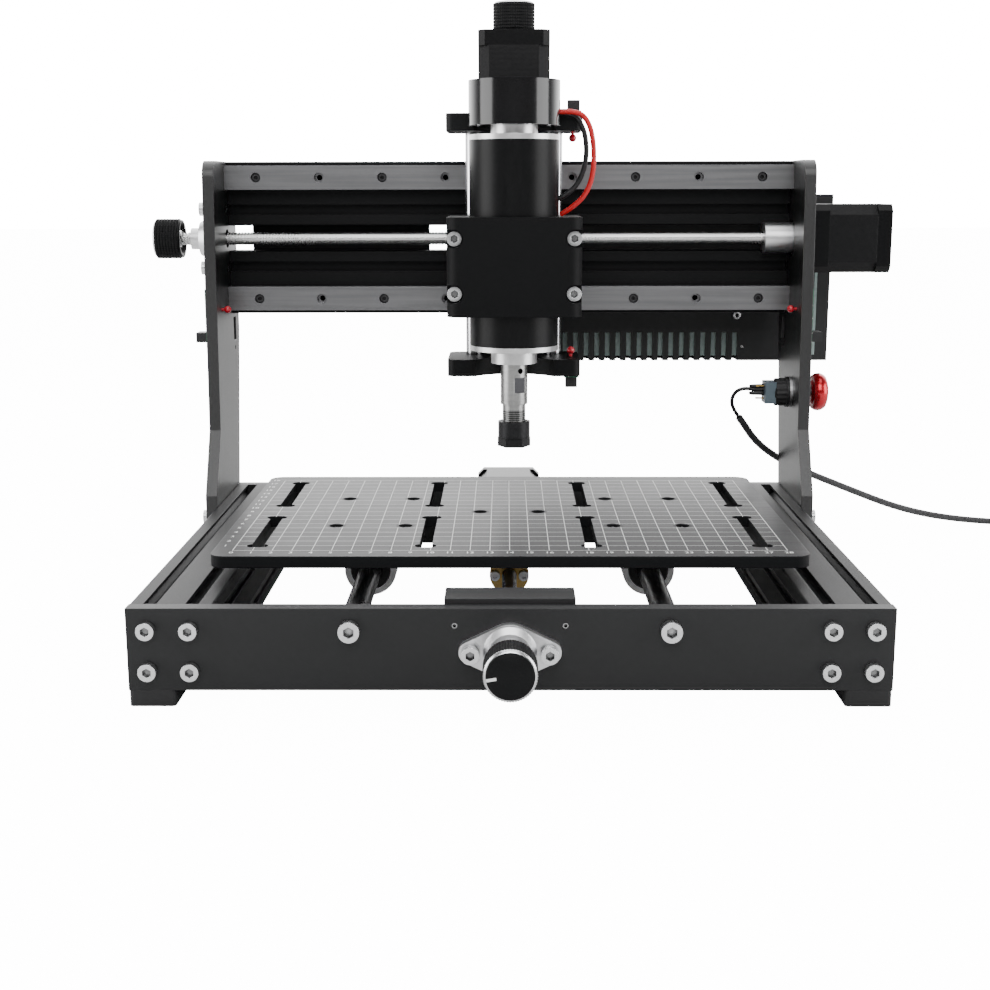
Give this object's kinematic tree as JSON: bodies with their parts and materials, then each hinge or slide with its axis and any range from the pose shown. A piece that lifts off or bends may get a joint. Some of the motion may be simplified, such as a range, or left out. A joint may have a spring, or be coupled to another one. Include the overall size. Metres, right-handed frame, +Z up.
{
  "type": "cnc router",
  "caption": "Desktop CNC router with a moving grid bed, a fixed two-beam gantry, a spindle on a cross and height slide, hand knobs, limit switches and a stop button.",
  "frame": {"origin": "bottom centre of the machine without its loose cord, on the surface it stands on", "axes": "+X to the right along the gantry, +Y to the back along the bed's travel, +Z up"},
  "size_m": [0.6591, 0.467, 0.3484],
  "materials": {
    "black_anodised": "fine-blasted black anodised",
    "black_plastic": "matte moulded",
    "zinc_steel": "bright zinc",
    "dark_steel": "dark polished",
    "ground_steel": "ground",
    "silver_zinc": "satin",
    "motor_black": "satin black",
    "green_board": "circuit board",
    "braided_sleeve": "braided sleeve",
    "white_plug": "moulded",
    "brass": "turned",
    "bright_steel": "rolled thread",
    "knob_black": "knurled, black anodised",
    "chrome_rod": "polished",
    "spindle_black": "satin black",
    "gloss_black": "glossy",
    "red_lead": "silicone",
    "black_oxide": "black oxide",
    "red_metal": "metallic red",
    "red_tip": "glossy"
  },
  "bodies": {
    "root": {"front_panel": "black_anodised", "rear_panel": "black_anodised", "side_profiles": "black_anodised", "feet": "black_plastic", "frame_cap_screws": "zinc_steel", "y_rods": "dark_steel", "y_limit_housings": "black_plastic", "side_plate_left": "black_anodised", "side_plate_right": "black_anodised", "gantry_beams": "black_anodised", "beam_joining_plate": "black_anodised", "x_rails": "ground_steel", "x_rail_screws": "zinc_steel", "bearing_flanges": "silver_zinc", "frame_motors": "motor_black", "x_motor_spacer": "black_anodised", "x_limit_boards": "green_board", "control_box_cover": "black_anodised", "control_box_back": "black_anodised", "control_board": "green_board", "estop_switch": "black_plastic", "estop_cord": "braided_sleeve", "estop_cord_coil": "braided_sleeve", "estop_cord_plug": "white_plug"},
    "bed": {"bed_plate": "black_anodised", "bed_bearings": "silver_zinc", "y_nut": "brass"},
    "y_screw": {"y_lead_screw": "bright_steel", "y_knob": "knob_black", "y_coupling": "silver_zinc"},
    "x_screw": {"x_lead_screw": "bright_steel", "x_knob": "knob_black", "x_coupling": "silver_zinc"},
    "carriage": {"carriage_plate": "black_anodised", "x_rail_cars": "ground_steel", "x_nut": "brass", "z_brackets": "black_anodised", "z_rods": "chrome_rod", "z_motor": "motor_black", "z_limit_boards": "green_board"},
    "z_screw": {"z_lead_screw": "bright_steel", "z_knob": "knob_black"},
    "spindle_slide": {"spindle_clamp_rear": "black_anodised", "spindle_clamp_front": "black_anodised", "clamp_screws": "zinc_steel", "z_linear_bearings": "ground_steel", "z_nut": "brass", "spindle_motor": "spindle_black", "spindle_cap": "gloss_black", "spindle_leads": "red_lead"},
    "spindle_rotor": {"spindle_rotor": "ground_steel", "collet_chuck": "ground_steel", "collet_nut": "black_oxide", "collet": "ground_steel"},
    "estop_plunger": {"estop_stem": "ground_steel"},
    "estop_mushroom": {"estop_head": "red_metal"},
    "x_tip_left": {"x_limit_tip_left": "red_tip"},
    "x_tip_right": {"x_limit_tip_right": "red_tip"},
    "z_tip_upper": {"z_limit_tip_upper": "red_tip"},
    "z_tip_lower": {"z_limit_tip_lower": "red_tip"}
  },
  "joints": [
    {"name": "bed_travel", "type": "slide", "parent": "root", "child": "bed", "axis": [0, 1, 0], "range_m": [-0.098, 0.098]},
    {"name": "y_screw_turn", "type": "hinge", "parent": "root", "child": "y_screw", "pos_m": [-0.00675, -0.16175, 0.028], "axis": [0, 1, 0], "range_deg": [-4411, 4411]},
    {"name": "carriage_travel", "type": "slide", "parent": "root", "child": "carriage", "axis": [1, 0, 0], "range_m": [-0.1355, 0.1295]},
    {"name": "x_screw_turn", "type": "hinge", "parent": "root", "child": "x_screw", "pos_m": [-0.00675, 0.12825, 0.209], "axis": [1, 0, 0], "range_deg": [-5829, 6099]},
    {"name": "spindle_travel", "type": "slide", "parent": "carriage", "child": "spindle_slide", "axis": [0, 0, 1], "range_m": [-0.0227, 0.0424]},
    {"name": "z_screw_turn", "type": "hinge", "parent": "carriage", "child": "z_screw", "pos_m": [-0.00375, 0.09275, 0.2], "axis": [0, 0, 1], "range_deg": [-3817, 2045]},
    {"name": "spindle_spin", "type": "hinge", "parent": "spindle_slide", "child": "spindle_rotor", "pos_m": [-0.00375, 0.04425, 0.15], "axis": [0, 0, 1], "continuous": true},
    {"name": "estop_press", "type": "slide", "parent": "root", "child": "estop_plunger", "axis": [-1, 0, 0], "range_m": [0, 0.0035], "stiffness_N_per_m": 1500, "springref_m": -0.002},
    {"name": "estop_twist", "type": "hinge", "parent": "estop_plunger", "child": "estop_mushroom", "pos_m": [0.19125, 0.11025, 0.1125], "axis": [1, 0, 0], "range_deg": [-35, 0], "stiffness_Nm_per_rad": 0.02, "springref_deg": 8.59},
    {"name": "x_tip_left_press", "type": "slide", "parent": "root", "child": "x_tip_left", "axis": [-1, 0, 0], "range_m": [0, 0.0015], "stiffness_N_per_m": 150, "springref_m": -0.0008},
    {"name": "x_tip_right_press", "type": "slide", "parent": "root", "child": "x_tip_right", "axis": [1, 0, 0], "range_m": [0, 0.0015], "stiffness_N_per_m": 150, "springref_m": -0.0008},
    {"name": "z_tip_upper_press", "type": "slide", "parent": "carriage", "child": "z_tip_upper", "axis": [0, 0, 1], "range_m": [0, 0.0015], "stiffness_N_per_m": 150, "springref_m": -0.0008},
    {"name": "z_tip_lower_press", "type": "slide", "parent": "carriage", "child": "z_tip_lower", "axis": [0, 0, -1], "range_m": [0, 0.0015], "stiffness_N_per_m": 150, "springref_m": -0.0008}
  ],
  "couplings": [
    {"joint": "y_screw_turn", "follows": "bed_travel", "rad_per_m": -785.4},
    {"joint": "x_screw_turn", "follows": "carriage_travel", "rad_per_m": -785.4},
    {"joint": "z_screw_turn", "follows": "spindle_travel", "rad_per_m": -1570.8}
  ]
}
